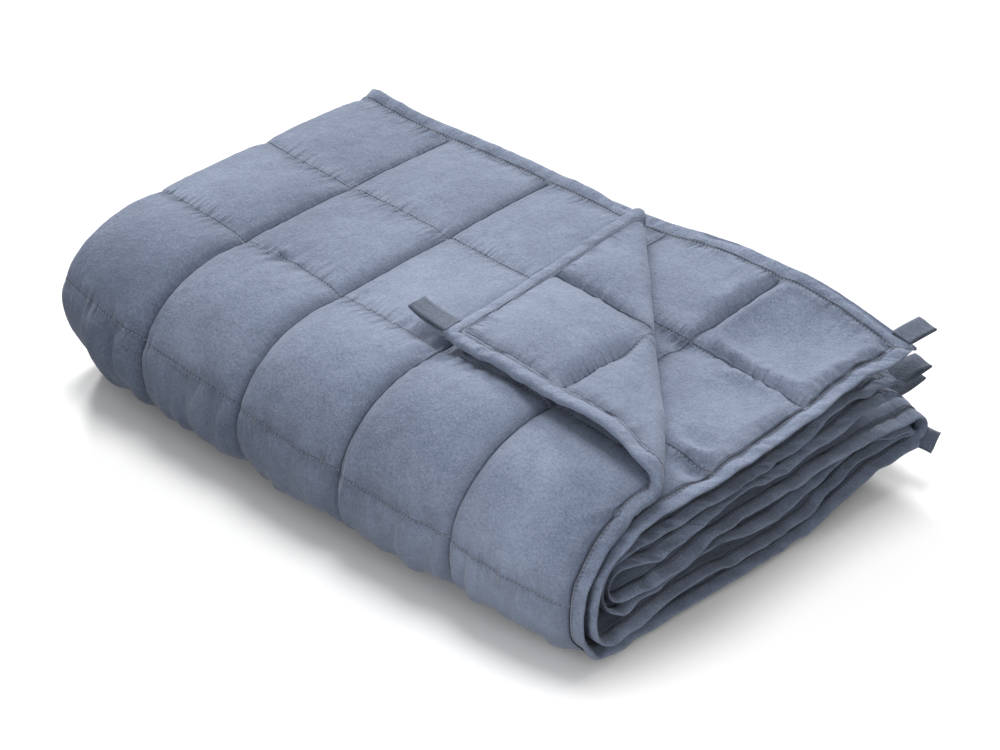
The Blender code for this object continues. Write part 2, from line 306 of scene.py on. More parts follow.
PINCH = (WIDTH / 2 - 0.004, CREASE_REACH + 0.004)  # where the crease ends at the right edge
PINCH_RING, PINCH_REACH = 0.022, 0.020  # how far from it its small folds lie, and how wide
PINCH_FOLDS = ((0.0022, 9, 1.0), (0.0012, 17, 0.0))  # depth, waves in a full turn, start
# hollows and bulges (m): w and v of the middle, reach across and along, depth
PINCH_HOLLOW = ((PINCH[0] - 0.035, PINCH[1] + 0.018, 0.014, 0.014, 0.005),)
HOLLOWS = (
    (0.028 - WIDTH / 2, 0.2635, 0.017, 0.012, 0.0100),
    (0.042 - WIDTH / 2, 0.2395, 0.022, 0.016, -0.0065),
    (0.143 - WIDTH / 2, 0.1400, 0.034, 0.012, 0.0050),
    (0.143 - WIDTH / 2, 0.1180, 0.034, 0.018, -0.0030),
)
# where the cloth of the outer ply is gathered most: across, along, how wide (m)
DRAWN_PLACES = (
    (HALF_ACROSS + 1.35 * POCKET_WIDTH, 2 * POCKET_LENGTH, 0.040),
    (HALF_ACROSS + 3.0 * POCKET_WIDTH, 2 * POCKET_LENGTH, 0.045),
    (HALF_ACROSS + 3.45 * POCKET_WIDTH, 1 * POCKET_LENGTH, 0.035),
    (HALF_ACROSS + 4.5 * POCKET_WIDTH, 2.4 * POCKET_LENGTH, 0.040),
)


def soft_noise(a, b, cell_a, cell_b, seed):
    """Smooth noise between -1 and 1 with one random value to each cell."""
    lattice = np.random.default_rng(seed).uniform(-1, 1, (NOISE_CELLS, NOISE_CELLS))
    a, b = a / cell_a + NOISE_SHIFT, b / cell_b + NOISE_SHIFT
    i, j = np.floor(a).astype(int), np.floor(b).astype(int)
    f, g = a - i, b - j
    f, g = f * f * (3 - 2 * f), g * g * (3 - 2 * g)
    i, j = i % (NOISE_CELLS - 1), j % (NOISE_CELLS - 1)
    low = lattice[i, j] * (1 - f) + lattice[i + 1, j] * f
    high = lattice[i, j + 1] * (1 - f) + lattice[i + 1, j + 1] * f
    return low * (1 - g) + high * g


def at_seam(v, seam):
    """1 at a cross seam of the even pattern, falling to 0 at the seams beside it."""
    return np.interp(v, BINDING_WIDTH + POCKET_LENGTH * np.arange(seam - 1, seam + 2), (0, 1, 0))


def sewn_place(w, v):
    """Where (w, v) lies on the quilting, across and along; its cross seams aren't quite even."""
    across = w + WIDTH / 2 - BINDING_WIDTH
    outer = -(OUTER_THIRD_OFF + OUTER_THIRD_MORE * (w / POCKET_WIDTH - 3)) * at_seam(v, 3)
    inner = INNER_SECOND_OFF * at_seam(v, 2) + INNER_FIRST_OFF * at_seam(v, 1)
    return across, v - BINDING_WIDTH + np.where(w > 0, outer, inner)


def seam_distance(position, size):
    """Distance to the nearest of the seams that lie size apart."""
    part = position % size
    return np.minimum(part, size - part)


def edge_distance(w, v):
    """Distance to the blanket's own edge."""
    return np.minimum(np.minimum(w + WIDTH / 2, WIDTH / 2 - w), np.minimum(v, LENGTH - v))


def past_crease(w, v):
    """How far a point lies beyond the diagonal of the turned corner, on either ply."""
    return (np.abs(w) - (WIDTH / 2 - CREASE_REACH) - v) / math.sqrt(2)


def edge_unevenness(w, v):
    """How far the cloth ripples up beside the bound edge, and sways out across the blanket."""
    long_edge = np.abs(np.abs(w) - WIDTH / 2) < np.minimum(v, LENGTH - v)
    along, ply = np.where(long_edge, v, w), np.sign(w) * PLIES_APART
    within = ease(v, *WITHIN_STACK)
    lowest = stretch(v, *LOWEST_PLY) * (w > 0)
    near_edge = np.exp(-edge_distance(w, v) / EDGE_REACH)
    sums = []
    for rows in (EDGE_RIPPLE, EDGE_SWAY):
        total = 0.0
        for shown, hidden, calmer, cell, seed in rows:
            depth = (shown + (hidden - shown) * within) * (1 - calmer * lowest)
            total = total + depth * soft_noise(along, ply, cell, 1.0, seed)
        sums.append(total)
    ripple, sway = sums
    sway = sway - WITHIN_DRAWN_IN * within * (1 - WITHIN_CALMER * lowest)
    ripple = np.where(long_edge, 1.0, END_RIPPLE) * ripple * near_edge
    sway = np.where(long_edge, 1.0, END_SWAY) * sway * near_edge * np.where(w > 0, 1, -1)
    return ripple, sway


def first_edges_apart(w, v):
    """How the first bound edges of the two plies stand apart; the turned corner's doesn't."""
    height, reach = 0.0065, 0.019
    lying_flat = 1 - ease(past_crease(w, v), *STAND_ENDS)
    return height * np.clip(1 - v / reach, 0, 1) * np.where(w > 0, lying_flat, -1)


def seams_drawn_down(w, v):
    """How the lengthways seams draw the outer ply down over the top and the front."""
    depth, reach, reach_along = 0.0038, 0.011, 0.4
    a, b = sewn_place(w, v)
    near_seam = np.exp(-seam_distance(a, POCKET_WIDTH) / reach)
    near_crossing = np.exp(-seam_distance(b, POCKET_LENGTH) / reach_along)
    right_of_fold = ease(w, 0.06, 0.10)
    left_of_crease = 1 - ease(past_crease(w, v), *DRAWN_ENDS)
    shown = right_of_fold * stretch(v, *SEAMS_DRAWN) * left_of_crease
    return depth * near_seam * near_crossing * shown


def pinched(w, v):
    """Small folds of the outer ply that fan out from the crease's end at the right edge."""
    away = np.hypot(w - PINCH[0], v - PINCH[1])
    angle = np.arctan2(v - PINCH[1], PINCH[0] - w)
    ring = np.exp(-((away - PINCH_RING) / PINCH_REACH) ** 2)
    folds = sum(depth * np.sin(waves * angle + start) for depth, waves, start in PINCH_FOLDS)
    beyond_edge = ease(angle, 0.1, 0.5)
    return np.where(w > 0, ring * folds * beyond_edge - hollowed(w, v, PINCH_HOLLOW), 0)


def flap_arch(w, v):
    """How far the turned corner's long edge arches up from the top."""
    height, middle, reach_along, reach = 0.013, 0.20, 0.08, 0.035
    arch = np.exp(-((v - middle) / reach_along) ** 2 - np.maximum(WIDTH / 2 - w, 0) / reach)
    return np.where(w > 0, height * arch * ease(past_crease(w, v), *ARCHED_FROM), 0)


def seams_sunk(w, v):
    """How deep the seams sink that the turned corner bares, on it and on the ply under it."""
    a, b = sewn_place(w, v)
    bared = ease(past_crease(w, v), *BARED_FROM) * (1 - ease(v, *BARED_ENDS))
    bared = bared * ease(edge_distance(w, v), 0.004, 0.030)
    inner_a = np.clip(a, POCKET_WIDTH / 2, (POCKETS_ACROSS - 0.5) * POCKET_WIDTH)
    inner_b = np.maximum(b, POCKET_LENGTH / 2)
    near_a = np.exp(-seam_distance(inner_a, POCKET_WIDTH) / SUNK_REACH[0])
    near_b = np.exp(-seam_distance(inner_b, POCKET_LENGTH) / SUNK_REACH[1])
    on_flap = SUNK_ON_FLAP[0] * near_a + SUNK_ON_FLAP[1] * near_b
    under_flap = SUNK_UNDER_FLAP[0] * near_a + SUNK_UNDER_FLAP[1] * near_b
    return bared * np.where(w > 0, on_flap, under_flap)


def hollowed(w, v, rows):
    """Depth of the hollows of a table at (w, v)."""
    total = 0.0
    for at_w, at_v, reach_w, reach_v, depth in rows:
        total = total + depth * np.exp(
            -((w - at_w) / reach_w) ** 2 - ((v - at_v) / reach_v) ** 2)
    return total


def lying(w, v, rise):
    """folded(), with what the seams, the turned corner and the loose edges do to the plies."""
    ripple, sway = edge_unevenness(w, v)
    rise = rise + pinched(w, v) - flap_arch(w, v) + seams_sunk(w, v) + hollowed(w, v, HOLLOWS)
    rise = rise + ripple - seams_drawn_down(w, v) + first_edges_apart(w, v)
    return folded(w + sway, v, rise)


# domes: unevenness of their slopes, powers that round their rims, unevenness of their fill
SLOPE_UNEVEN, RIM_A_POWER, RIM_B_POWER = 0.25, 0.62, 0.75
OUTER_FILL_UNEVEN, INNER_FILL_UNEVEN = 0.16, 0.06
# gathers: where beside a seam they start and how far they reach (m), their mean depth, how much
# it varies, and how much more they have at DRAWN_PLACES
GATHER_START, GATHER_REACH_A, GATHER_REACH_B = 0.0025, 0.008, 0.009
GATHER_MEAN, GATHER_VARIES, GATHER_DRAWN = 0.75, 0.65, 1.6
# drag folds: depth, how far beside a seam they start (m), how they slant, the wide ones' share
DRAG_DEPTH, DRAG_START, DRAG_SLANT = 0.0038, 0.010, 0.2
WIDE_DRAG, WIDE_DRAG_SLANT = 0.7, -0.15
# soft unevenness inside a pocket: depth, how far beside a seam it starts (m), the fine part
DRIFT_DEPTH, DRIFT_START, FINE_DRIFT = 0.0007, 0.02, 0.5


def domes(w, v, crown, seam_lift, round_part, slopes):
    """Height of the pockets' domes over their seams."""
    a, b = sewn_place(w, v)
    near_a, near_b = seam_distance(a, POCKET_WIDTH), seam_distance(b, POCKET_LENGTH)
    part_a, part_b = a / POCKET_WIDTH % 1, b / POCKET_LENGTH % 1
    left_half = (part_a < 0.5) == (w > 0)
    slope = np.where(left_half, slopes[0], slopes[1])
    slope = slope * (1 + SLOPE_UNEVEN * soft_noise(a, b, *SLOPE_NOISE))
    rim_a = (1 - np.exp(-near_a / slope)) ** RIM_A_POWER
    rim_b = (1 - np.exp(-near_b / slopes[2])) ** RIM_B_POWER
    dome = 1 + round_part * (np.sin(math.pi * part_a) * np.sin(math.pi * part_b) - 1)
    fill_uneven = np.where(w > 0, OUTER_FILL_UNEVEN, INNER_FILL_UNEVEN)
    fill = 1 + fill_uneven * soft_noise(a, b, *FILL_NOISE)
    return crown * fill * dome * rim_a * (seam_lift + (1 - seam_lift) * rim_b)


def puff(w, v, crown, seam_lift, pull, round_part, slopes, gathers):
    """Height of a cover over its seams: a dome in each pocket, with gathers at its rim.

    seam_lift is how little the cross seams draw the cover down, pull how much it is dragged
    into long creases, round_part how much of the crown is one wide dome, slopes how far the
    cloth takes to rise on the left, on the right and at the cross seams of a pocket, and
    gathers how deep the small folds are beside the lengthways and the cross seams.
    """
    a, b = sewn_place(w, v)
    near_a, near_b = seam_distance(a, POCKET_WIDTH), seam_distance(b, POCKET_LENGTH)
    uneven = GATHER_MEAN + GATHER_VARIES * soft_noise(a, b, *UNEVEN_NOISE)
    for at_a, at_b, reach in DRAWN_PLACES:
        drawn = np.exp(-((a - at_a) ** 2 + (b - at_b) ** 2) / reach ** 2)
        uneven = uneven + GATHER_DRAWN * drawn * (w > 0)
    gather_a = soft_noise(a, b, *GATHER_A_NOISE) * np.exp(-near_a / GATHER_REACH_A)
    gather_b = soft_noise(a, b, *GATHER_B_NOISE) * np.exp(-near_b / GATHER_REACH_B)
    gather_a = gather_a * np.clip(near_a / GATHER_START, 0, 1)
    gather_b = gather_b * np.clip(near_b / GATHER_START, 0, 1)
    drag = soft_noise(a + DRAG_SLANT * b, b, *DRAG_NOISE)
    drag = drag + WIDE_DRAG * soft_noise(a + WIDE_DRAG_SLANT * b, b, *WIDE_DRAG_NOISE)
    drift = soft_noise(a, b, *DRIFT_NOISE) + FINE_DRIFT * soft_noise(a, b, *FINE_DRIFT_NOISE)
    inside = np.clip(np.minimum(near_a, near_b) / DRIFT_START, 0, 1)
    return (domes(w, v, crown, seam_lift, round_part, slopes)
            + uneven * (gathers[0] * gather_a + gathers[1] * gather_b)
            + DRIFT_DEPTH * drift * inside
            + DRAG_DEPTH * pull * drag * np.clip(near_a / DRAG_START, 0, 1))


# ---------------- meshes
def stations(lines):
    """Values along a line from rows of (start, end, step), without repeats."""
    parts = []
    for start, end, step in lines:
        count = max(2, round((end - start) / step) + 1)
        parts.append(np.linspace(start, end, count)[:-1])
    return np.concatenate(parts + [np.array([lines[-1][1]])])


def add_object(name, data):
    """A new object in the scene."""
    thing = bpy.data.objects.new(name, data)
    bpy.context.scene.collection.objects.link(thing)
    return thing


def grid_object(name, points, flat, material, closed=False):
    """A mesh of quads over a grid of points, with the flat pattern as its UV map."""
    rows, columns = points.shape[:2]
    index = np.arange(rows * columns).reshape(rows, columns)
    if closed:
        index = np.vstack([index, index[:1]])
    quads = np.stack([index[:-1, :-1], index[:-1, 1:], index[1:, 1:], index[1:, :-1]], axis=-1)
    corners = quads.reshape(-1)
    mesh = bpy.data.meshes.new(name)
    mesh.vertices.add(rows * columns)
    mesh.vertices.foreach_set("co", points.reshape(-1).astype(np.float32))
    mesh.loops.add(corners.size)
    mesh.loops.foreach_set("vertex_index", corners.astype(np.int32))
    mesh.polygons.add(corners.size // 4)
    mesh.polygons.foreach_set("loop_start", np.arange(0, corners.size, 4, dtype=np.int32))
    mesh.update(calc_edges=True)
    layer = mesh.uv_layers.new(name="flat")
    layer.data.foreach_set("uv", flat.reshape(-1, 2)[corners].reshape(-1).astype(np.float32))
    mesh.materials.append(material)
    mesh.shade_smooth()
    return add_object(name, mesh)


def placed(piece, node):
    """Rides the piece on the stack in place of its plain solid."""
    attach(piece, "root")
    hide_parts(node)
    return piece


# ---------------- materials
class Value:
    """A socket that takes part in sums."""

    def __init__(self, tree, socket):
        self.tree, self.socket = tree, socket

    def maths(self, operation, *others):
        return self.tree.maths(operation, self, *others)

    def fading(self, rate):
        """1 where the value is 0, and falling off as it grows."""
        return (self * -rate).maths("EXPONENT")

    def __add__(self, other):
        return self.maths("ADD", other)

    def __sub__(self, other):
        return self.maths("SUBTRACT", other)

    def __rsub__(self, other):
        return self.tree.maths("SUBTRACT", other, self)

    def __mul__(self, other):
        return self.maths("MULTIPLY", other)

    def __truediv__(self, other):
        return self.maths("DIVIDE", other)

    def __rtruediv__(self, other):
        return self.tree.maths("DIVIDE", other, self)

    __radd__, __rmul__ = __add__, __mul__


class Tree:
    """The node tree of one material."""

    def __init__(self, name):
        self.material = bpy.data.materials.new(name)
        self.material.use_nodes = True
        self.nodes = self.material.node_tree.nodes
        self.shader = self.nodes["Principled BSDF"]

    def feed(self, socket, value):
        if isinstance(value, Value):
            self.material.node_tree.links.new(value.socket, socket)
        else:
            socket.default_value = value

    def node(self, kind, settings=None, inputs=None, output=0):
        """Adds a node, makes its settings, feeds its inputs and returns one of its outputs."""
        node = self.nodes.new(kind)
        for name, setting in (settings or {}).items():
            setattr(node, name, setting)
        for key, value in (inputs or {}).items():
            self.feed(node.inputs[key], value)
        return Value(self, node.outputs[output])

    def maths(self, operation, *values):
        return self.node("ShaderNodeMath", {"operation": operation}, dict(enumerate(values)))

    def vector(self, operation, first, second, output=0):
        values = {0: first, 1: second}
        return self.node("ShaderNodeVectorMath", {"operation": operation}, values, output)

    def spread(self, value, start, end, first, last, kind="LINEAR"):
        """Runs from first to last while the value runs from start to end."""
        values = {0: value, 1: start, 2: end, 3: first, 4: last}
        return self.node("ShaderNodeMapRange", {"interpolation_type": kind}, values)

    def noise(self, place, scale, detail, density=(1, 1, 1)):
        """Noise between 0 and 1 over a place, coarser along an axis with a density below 1."""
        scaled = self.vector("MULTIPLY", place, density)
        values = {"Vector": scaled, "Scale": scale, "Detail": detail}
        return self.node("ShaderNodeTexNoise", {}, values)

    def blend(self, factor, first, second):
        """A colour between two colours."""
        values = {0: factor, 6: first, 7: second}
        return self.node("ShaderNodeMix", {"data_type": "RGBA"}, values, output=2)

    def finish(self, colour, roughness, height, sheen, sheen_tint):
        """Connects the shader; height is in metres over the surface, for the bump."""
        values = {"Strength": 1.0, "Distance": 1.0, "Height": height}
        self.feed(self.shader.inputs["Base Color"], colour)
        self.feed(self.shader.inputs["Roughness"], roughness)
        self.feed(self.shader.inputs["Normal"], self.node("ShaderNodeBump", {}, values))
        self.shader.inputs["Specular IOR Level"].default_value = CLOTH_SPECULAR
        self.shader.inputs["Sheen Weight"].default_value = sheen
        self.shader.inputs["Sheen Roughness"].default_value = SHEEN_ROUGHNESS
        self.shader.inputs["Sheen Tint"].default_value = (*sheen_tint, 1.0)
        return self.material


CLOTH_SPECULAR = 0.25
CLOTH_ROUGHNESS, LIT_ROUGHER = 0.80, 0.08  # and how much rougher the lighter nap is
SHEEN_ROUGHNESS = 0.45
THREAD_HEIGHT = 0.0005
STITCHED_PART = 0.55  # of the way from one stitch to the next
QUILTED_LINE_DEPTH, EDGE_LINE_DEPTH = 0.0014, 0.0012
# a sewn line and the thread in it are whole up to the first distance and gone at the second (m)
LINE_EDGE = (0.0003, 0.0018)
THREAD_EDGE = (0.0002, 0.0007)
# noises: cells to a metre, detail, density along the axes
PATCHES, MOTTLE, NAP, GRAIN = (7.0, 2.0), (75.0, 3.0), (380.0, 3.0), (1250.0, 2.0)
STREAKS = (30.0, 4.0, (1.0, 0.6, 1.0))
EDGE_GATHERS = (85.0, 3.0, (1.0, 0.30, 1.0))
PUCKERS_A, PUCKERS_B = (170.0, 1.0, (0.15, 1.0, 1.0)), (170.0, 1.0, (1.0, 0.15, 1.0))
PUCKERS_UNEVEN = (26.0, 1.0)
# ends of a noise's useful range, and what they stand for
TONE_RANGE, PUCKER_RANGE = (0.39, 0.61, 0.0, 1.0), (0.38, 0.62, 0.25, 1.3)
DARKEST_TONE = -0.3

# painted light and shade: places in the stack where the colour is painted lighter or darker; place
# in the stack (m), how wide (m), how much lighter
PAINTED_LIGHT_AND_SHADE_PATCHES = (
    ((-0.26, -0.19, 0.12), 0.080, -0.55),
    ((-0.21, -0.06, 0.17), 0.080, -0.35),
    ((-0.01, -0.08, 0.17), 0.070, 0.45),
    ((-0.27, 0.11, 0.17), 0.080, -0.30),
    ((0.20, -0.29, 0.05), 0.130, 0.50),
    ((0.07, -0.19, 0.12), 0.060, -0.45),
    ((0.17, -0.20, 0.11), 0.050, -0.30),
    ((0.29, -0.20, 0.10), 0.060, -0.35),
)


def seam_lines(tree, along, away, stitch):
    """Masks of one set of seams: the sewn line and the stitches in it."""
    line = tree.spread(away, *LINE_EDGE, 1.0, 0.0, kind="SMOOTHSTEP")
    thread = tree.spread(away, *THREAD_EDGE, 1.0, 0.0, kind="SMOOTHSTEP")
    dash = (along / stitch).maths("FRACT").maths("LESS_THAN", STITCHED_PART)
    return line, thread * dash


def seam_colours(tree, look, colour, deep, thread):
    """The colour with painted shade in and beside its sewn lines, as strong as deep, and its
    stitches, partly a painted highlight, as strong as thread.
    """
    colour = tree.blend(deep, colour, (*look.seam_shade_colour, 1.0))
    return tree.blend(thread, colour, (*look.thread_and_highlight_colour, 1.0))


def quilted(tree, look, flat, a, b, colour, height):
    """Colour and height with the pockets' seams, painted shade in and beside them, and the gathers
    beside them.
    """
    to_a = (a / POCKET_WIDTH).maths("PINGPONG", 0.5) * POCKET_WIDTH
    to_b = (b / POCKET_LENGTH).maths("PINGPONG", 0.5) * POCKET_LENGTH
    line_a, thread_a = seam_lines(tree, b, to_a, look.stitch_length)
    line_b, thread_b = seam_lines(tree, a, to_b, look.stitch_length)
    uneven = tree.spread(tree.noise(flat, *PUCKERS_UNEVEN), *PUCKER_RANGE)
    pucker_a = tree.noise(flat, *PUCKERS_A) * to_a.fading(160.0) * 0.5
    pucker_b = tree.noise(flat, *PUCKERS_B) * to_b.fading(110.0)
    puckers = (pucker_a + pucker_b * uneven * 1.6) * look.pucker_depth
    line = line_a.maths("MAXIMUM", line_b)
    thread = (thread_a * 0.2).maths("MAXIMUM", thread_b)
    height = height + puckers + thread * THREAD_HEIGHT - line * QUILTED_LINE_DEPTH
    # painted shade: the sewn lines and bands beside the seams darkened towards the seam colour,
    # where the grooves fall into shade
    deep = line_a * 0.85
    for part in (line_b * 0.60, to_a.fading(150.0) * 0.55, to_b.fading(170.0) * 0.25):
        deep = deep.maths("MAXIMUM", part)
    # the stitches: partly the thread's own colour, partly a painted highlight
    return seam_colours(tree, look, colour, deep, thread * 0.45), height


def edge_stitched(tree, look, flat, a, b, colour, height):
    """Colour and height with the binding's row of stitches, painted shade in its sewn line, and the
    gathers along it.
    """
    away = (b - EDGE_STITCHES).maths("ABSOLUTE")
    line, thread = seam_lines(tree, a, away, look.stitch_length)
    gathers = tree.noise(flat, *EDGE_GATHERS) * look.pucker_depth * 0.55
    height = height + gathers + thread * THREAD_HEIGHT - line * EDGE_LINE_DEPTH
    # painted shade in the sewn line; the stitches partly a painted highlight
    return seam_colours(tree, look, colour, line * 0.75, thread * 0.40), height


def brushed_cloth(look, name, sewn=None, shade=1.0):
    """Brushed microfibre with soft patches of nap, a fine grain and patches of painted light and
    shade; sewn adds its seams.
    """
    tree = Tree(name)
    flat = tree.node("ShaderNodeUVMap", {"uv_map": "flat"})
    place = tree.node("ShaderNodeNewGeometry")
    patches = tree.noise(place, *PATCHES)
    streaks = tree.noise(flat, *STREAKS)
    mottle, nap, grain = (tree.noise(place, *noise) for noise in (MOTTLE, NAP, GRAIN))
    tone = patches * 0.16 + streaks * 0.13 + mottle * 0.10 + nap * 0.21 + grain * 0.40
    tone = tree.spread(tone, *TONE_RANGE)
    # painted light and shade: the colour made lighter or darker round fixed places in the stack
    for centre, reach, lighter in PAINTED_LIGHT_AND_SHADE_PATCHES:
        away = tree.vector("DISTANCE", place, centre, output=1)
        tone = tone + (away * away).fading(1 / reach ** 2) * lighter
    tone = tone.maths("MAXIMUM", DARKEST_TONE)
    darker = (*(part * shade for part in look.cloth_shade), 1.0)
    lighter = (*(part * shade for part in look.cloth_light), 1.0)
    colour = tree.blend(tone.maths("MAXIMUM", 0.0), darker, lighter)
    height = grain * 0.0004 + nap * 0.0006 + mottle * 0.0016
    if sewn:
        a = tree.node("ShaderNodeSeparateXYZ", {}, {0: flat})
        b = Value(tree, a.socket.node.outputs[1])
        colour, height = sewn(tree, look, flat, a, b, colour, height)
    roughness = tone * LIT_ROUGHER + CLOTH_ROUGHNESS
    return tree.finish(colour, roughness, height, look.sheen, look.sheen_tint)


# ---------------- what a user would change
def colour_setting(name, description, default):
    return FloatVectorProperty(name=name, description=description, default=default,
                               subtype="COLOR", min=0, max=1)


def length_setting(name, description, default, least, most):
    return FloatProperty(name=name, description=description, default=default,
                         min=least, max=most, unit="LENGTH")


class BlanketLook(bpy.types.PropertyGroup):
    """Colours of the cloth and how deep its details are."""

    cloth_shade: colour_setting(
        "Cloth, darker nap", "Colour where the nap leans away", (0.103, 0.129, 0.191))
    cloth_light: colour_setting(
        "Cloth, lighter nap", "Colour where the nap catches the light", (0.240, 0.284, 0.382))
    # painted shade: the colour that the sewn lines and the bands beside them are darkened towards
    seam_shade_colour: colour_setting(
        "Seam", "Colour in the sewn line", (0.045, 0.055, 0.085))
    # the stitches: partly the thread's own colour, partly a painted highlight
    thread_and_highlight_colour: colour_setting(
        "Thread", "Colour of the stitches", (0.42, 0.46, 0.55))
    sheen_tint: colour_setting(
        "Sheen tint", "Colour of the nap's soft edge light", (0.78, 0.82, 0.95))
    sheen: FloatProperty(
        name="Sheen", description="How much the nap lights up at a low angle",
        default=0.35, min=0, max=1, subtype="FACTOR")
    ribbon_shade: FloatProperty(
        name="Ribbon shade", description="How bright the ribbon is beside the cloth",
        default=0.52, min=0.1, max=1, subtype="FACTOR")
    pucker_depth: length_setting(
        "Pucker depth", "Depth of the fine gathers beside a seam", 0.0055, 0, 0.01)
    stitch_length: length_setting(
        "Stitch length", "From one stitch to the next", 0.0038, 0.001, 0.01)


class BlanketShape(bpy.types.PropertyGroup):
    """How full the pockets are."""

    outer_crown: length_setting(
        "Outer crown", "Height of a pocket over its seams, outside", 0.0095, 0.001, 0.02)
    inner_crown: length_setting(
        "Inner crown", "Height of a pocket over its seams, inside", 0.0052, 0.001, 0.02)
    grid_step: length_setting(
        "Grid step", "Size of a facet on the covers that show", 0.0031, 0.002, 0.02)


# ---------------- the pieces
TUCKED_IN = 0.001  # how far the covers reach under the binding
BARED_TO = BINDING_WIDTH + 2.16 * POCKET_LENGTH  # what the turned corner bares of the pattern
SHOWN_TO = BINDING_WIDTH + 4.16 * POCKET_LENGTH  # what shows on the top and the front
BACK_BEND = (0.80, 0.91)
FRONT_BEND = (1.29, 1.41)


def flat_grid(side, step):
    """Lines across and along the flat pattern, close together where the cloth shows or bends."""
    edge, near_fold = HALF_ACROSS + TUCKED_IN, 4 * step
    start, end = BINDING_WIDTH - TUCKED_IN, LENGTH - BINDING_WIDTH + TUCKED_IN
    hidden, bent = 2.8 * step, 1.6 * step
    square = step * POCKET_LENGTH / POCKET_WIDTH
    fold = (-near_fold, near_fold, 0.002)
    if side > 0:
        across = [(-edge, -near_fold, hidden), fold, (near_fold, HALF_ACROSS, step)]
        shown = [(BINDING_WIDTH, SHOWN_TO, square)]
    else:
        left, right = -2.5 * POCKET_WIDTH, 2.8 * POCKET_WIDTH
        across = [(-edge, -HALF_ACROSS, step), (-HALF_ACROSS, left, step),
                  (left, -near_fold, hidden), fold, (near_fold, right, hidden),
                  (right, HALF_ACROSS, step)]
        shown = [(BINDING_WIDTH, BARED_TO, square), (BARED_TO, SHOWN_TO, 2.2 * step)]
    along = [(start, BINDING_WIDTH, step), *shown,
             (SHOWN_TO, BACK_BEND[0], hidden), (*BACK_BEND, bent),
             (BACK_BEND[1], FRONT_BEND[0], hidden), (*FRONT_BEND, bent),
             (FRONT_BEND[1], end, hidden)]
    return np.meshgrid(stations([*across, (HALF_ACROSS, edge, step)]), stations(along))


def outer_height(w, v, crown):
    """Height of the outer cover, fullest over the front and tight at the left fold."""
    at_fold = 0.75 - 0.45 * ease(v, *FOLD_TIGHTENS)
    at_fold = at_fold + (1 - at_fold) * ease(w, 0.0, 0.06)
    full_front = 1 + 0.30 * stretch(v, *FULL_FRONT)
    flat_below = 1 - 0.50 * ease(v, *FRONT_FLATTENS)
    lift = (0.45 + 0.30 * ease(v, *SEAMS_LIFT)) * (1 - ease(v, *WITHIN_STACK))
    pull = stretch(v, *DRAGGED_NOSE) * ease(w, 0.01, 0.08)
    return puff(w, v, crown * full_front * flat_below * at_fold, lift, pull, round_part=0.30,
                slopes=(0.0055, 0.0105, 0.011), gathers=(0.0009, 0.0025))


def inner_height(w, v, crown):
    """Height of the inner cover, fuller where the turned corner bares it, tight in the crease."""
    past = past_crease(w, v)
    in_crease = np.where(w > 0, np.exp(-((past - 0.012) / 0.02) ** 2), 0)
    last = ease(-w, HALF_ACROSS - POCKET_WIDTH, HALF_ACROSS - 0.8 * POCKET_WIDTH)
    full = crown * (1.0 + 1.60 * ease(past, 0.02, 0.07)) * (1 - 0.75 * in_crease)
    full = full * (1 + 0.15 * last * (1 - ease(v, *LAST_FULL_ENDS)))
    bared = ease(past, *ARCHED_FROM)
    return puff(w, v, full, seam_lift=0.12, pull=0.0, round_part=0.55,
                slopes=(0.0070, 0.0095 + 0.004 * last, 0.0075),
                gathers=(0.0009 + 0.0022 * bared, 0.0024 + 0.0016 * bared))


def cover(name, side, crown, step, material):
    """One of the two quilted covers; side is 1 outside the fold and -1 inside it."""
    w, v = flat_grid(side, step)
    height = outer_height(w, v, crown) if side > 0 else inner_height(w, v, crown)
    points = lying(w, v, side * (SEAM_HALF + height))
    flat = np.stack(sewn_place(w, v), axis=-1)
    if side > 0:
        points, flat = points[:, ::-1], flat[:, ::-1]
    piece = grid_object(name, points, flat, material)
    placed(piece, "quilted_panel")
    return piece


# upper half of the binding: part of its width in from the outer edge, part of its thickness
BINDING_PROFILE = (
    (1.02, 0.55), (0.97, 0.92), (0.90, 0.74), (0.82, 0.70), (0.72, 0.90),
    (0.5, 1.0), (0.3, 1.0), (0.12, 0.86), (0.03, 0.5), (0.0, 0.0),
)
BINDING_STEP = 0.0045
BINDING_HALF = 0.0021  # half its thickness
BINDING_PLUMP, PLUMP_TO = 0.0042, (0.28, 0.36)  # on the outer ply's top, and where that ends
BINDING_PRESSED = 0.0006  # how much thinner its half is within the stack
THICKNESS_NOISE, THICKNESS_VARIES = (0.02, 1, 41), 0.14
BINDING_GATHER_NOISE, BINDING_GATHER_DEPTH = (0.0075, 0.02, 42), 0.0016
BINDING_GATHER_SLANT = 0.3


def edge_round(inset):
    """w and v once round the blanket's edge, with a row of the insets for each cut across it."""
    cut, near_fold = 2 * BINDING_STEP, 0.03
    across = stations([(-1, -near_fold, cut), (-near_fold, near_fold, cut), (near_fold, 1, cut)])
    along = stations([(0, 1, BINDING_STEP / LENGTH)])
    sides = []
    for side, line in enumerate((across, along, across[::-1], along[::-1])):
        part = line[:-1, None]
        if side % 2 == 0:
            w = part * (WIDTH / 2 - inset)
            v = inset if side == 0 else LENGTH - inset
        else:
            w = WIDTH / 2 - inset if side == 1 else inset - WIDTH / 2
            v = inset + part * (LENGTH - 2 * inset)
        sides.append(np.stack(np.broadcast_arrays(w, v)))
    return np.concatenate(sides, axis=1)


